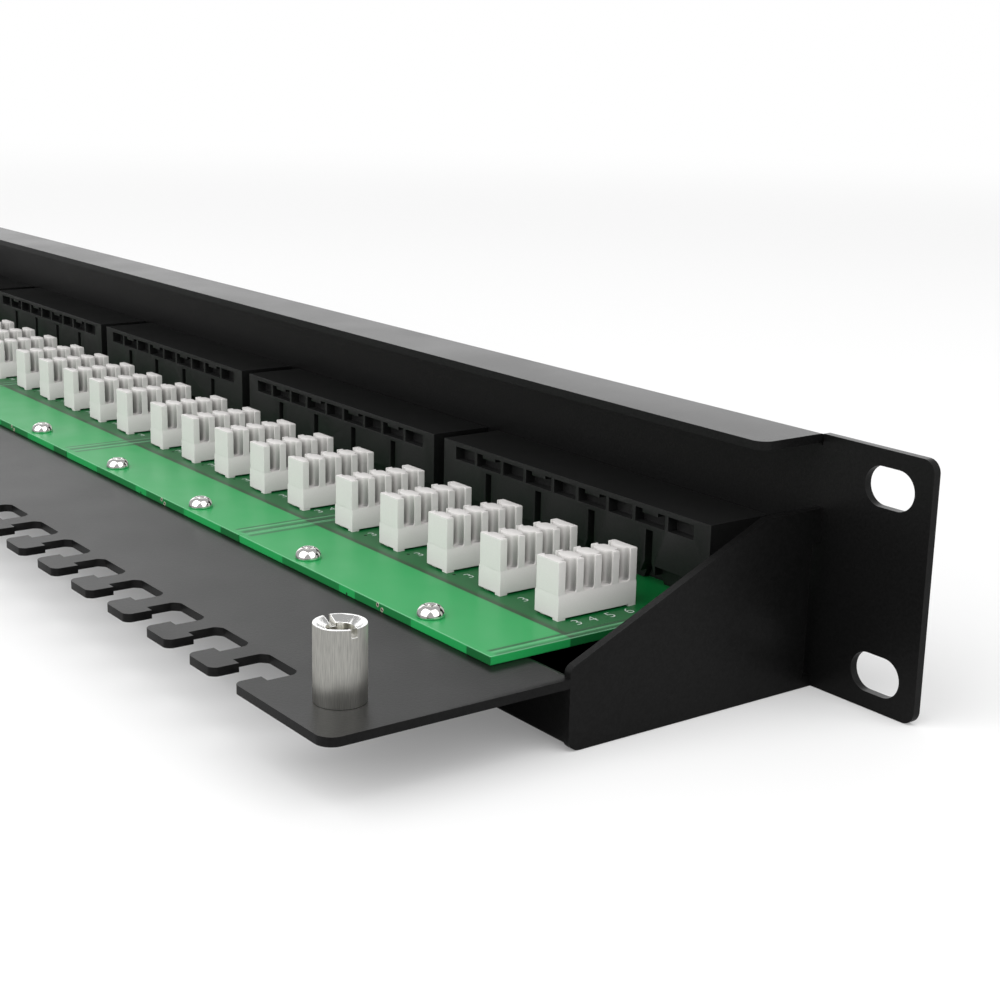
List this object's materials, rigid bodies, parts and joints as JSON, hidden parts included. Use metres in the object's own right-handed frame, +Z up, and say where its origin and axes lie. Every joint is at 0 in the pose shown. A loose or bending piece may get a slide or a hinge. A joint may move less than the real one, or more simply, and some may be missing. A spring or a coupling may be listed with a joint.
{
  "type": "telephone patch panel",
  "caption": "Rack patch panel in folded black steel: modular telephone ports in front, punch-down blocks on green boards behind, and a rear tray with tie slots and a ground stud.",
  "frame": {"origin": "middle of the rack hole pattern on the back face of the ears", "axes": "+X along the panel, +Y from the port side back to the cable tray, +Z up"},
  "size_m": [0.4826, 0.0992, 0.0444],
  "materials": {
    "powder_coat": "satin black powder coat with a fine grain",
    "circuit_board": "green solder mask over glass-fibre board",
    "black_plastic": "moulded black plastic, fine matt texture",
    "contact_wire": "gold-flashed spring wire",
    "white_plastic": "moulded white plastic, satin",
    "bright_screw": "bright nickel plating",
    "turned_steel": "turned steel with fine turning lines"
  },
  "bodies": {
    "root": {"chassis": "powder_coat", "circuit_board_1": "circuit_board", "circuit_board_2": "circuit_board", "circuit_board_3": "circuit_board", "circuit_board_4": "circuit_board", "circuit_board_5": "circuit_board", "jack_housing_1": "black_plastic", "jack_housing_2": "black_plastic", "jack_housing_3": "black_plastic", "jack_housing_4": "black_plastic", "jack_housing_5": "black_plastic", "jack_contacts_1": "contact_wire", "jack_contacts_2": "contact_wire", "jack_contacts_3": "contact_wire", "jack_contacts_4": "contact_wire", "jack_contacts_5": "contact_wire", "idc_block_01": "white_plastic", "idc_block_02": "white_plastic", "idc_block_03": "white_plastic", "idc_block_04": "white_plastic", "idc_block_05": "white_plastic", "idc_block_06": "white_plastic", "idc_block_07": "white_plastic", "idc_block_08": "white_plastic", "idc_block_09": "white_plastic", "idc_block_10": "white_plastic", "idc_block_11": "white_plastic", "idc_block_12": "white_plastic", "idc_block_13": "white_plastic", "idc_block_14": "white_plastic", "idc_block_15": "white_plastic", "idc_block_16": "white_plastic", "idc_block_17": "white_plastic", "idc_block_18": "white_plastic", "idc_block_19": "white_plastic", "idc_block_20": "white_plastic", "idc_block_21": "white_plastic", "idc_block_22": "white_plastic", "idc_block_23": "white_plastic", "idc_block_24": "white_plastic", "idc_block_25": "white_plastic", "board_screws": "bright_screw", "ground_stud": "turned_steel", "stud_screw": "turned_steel"}
  },
  "joints": []
}
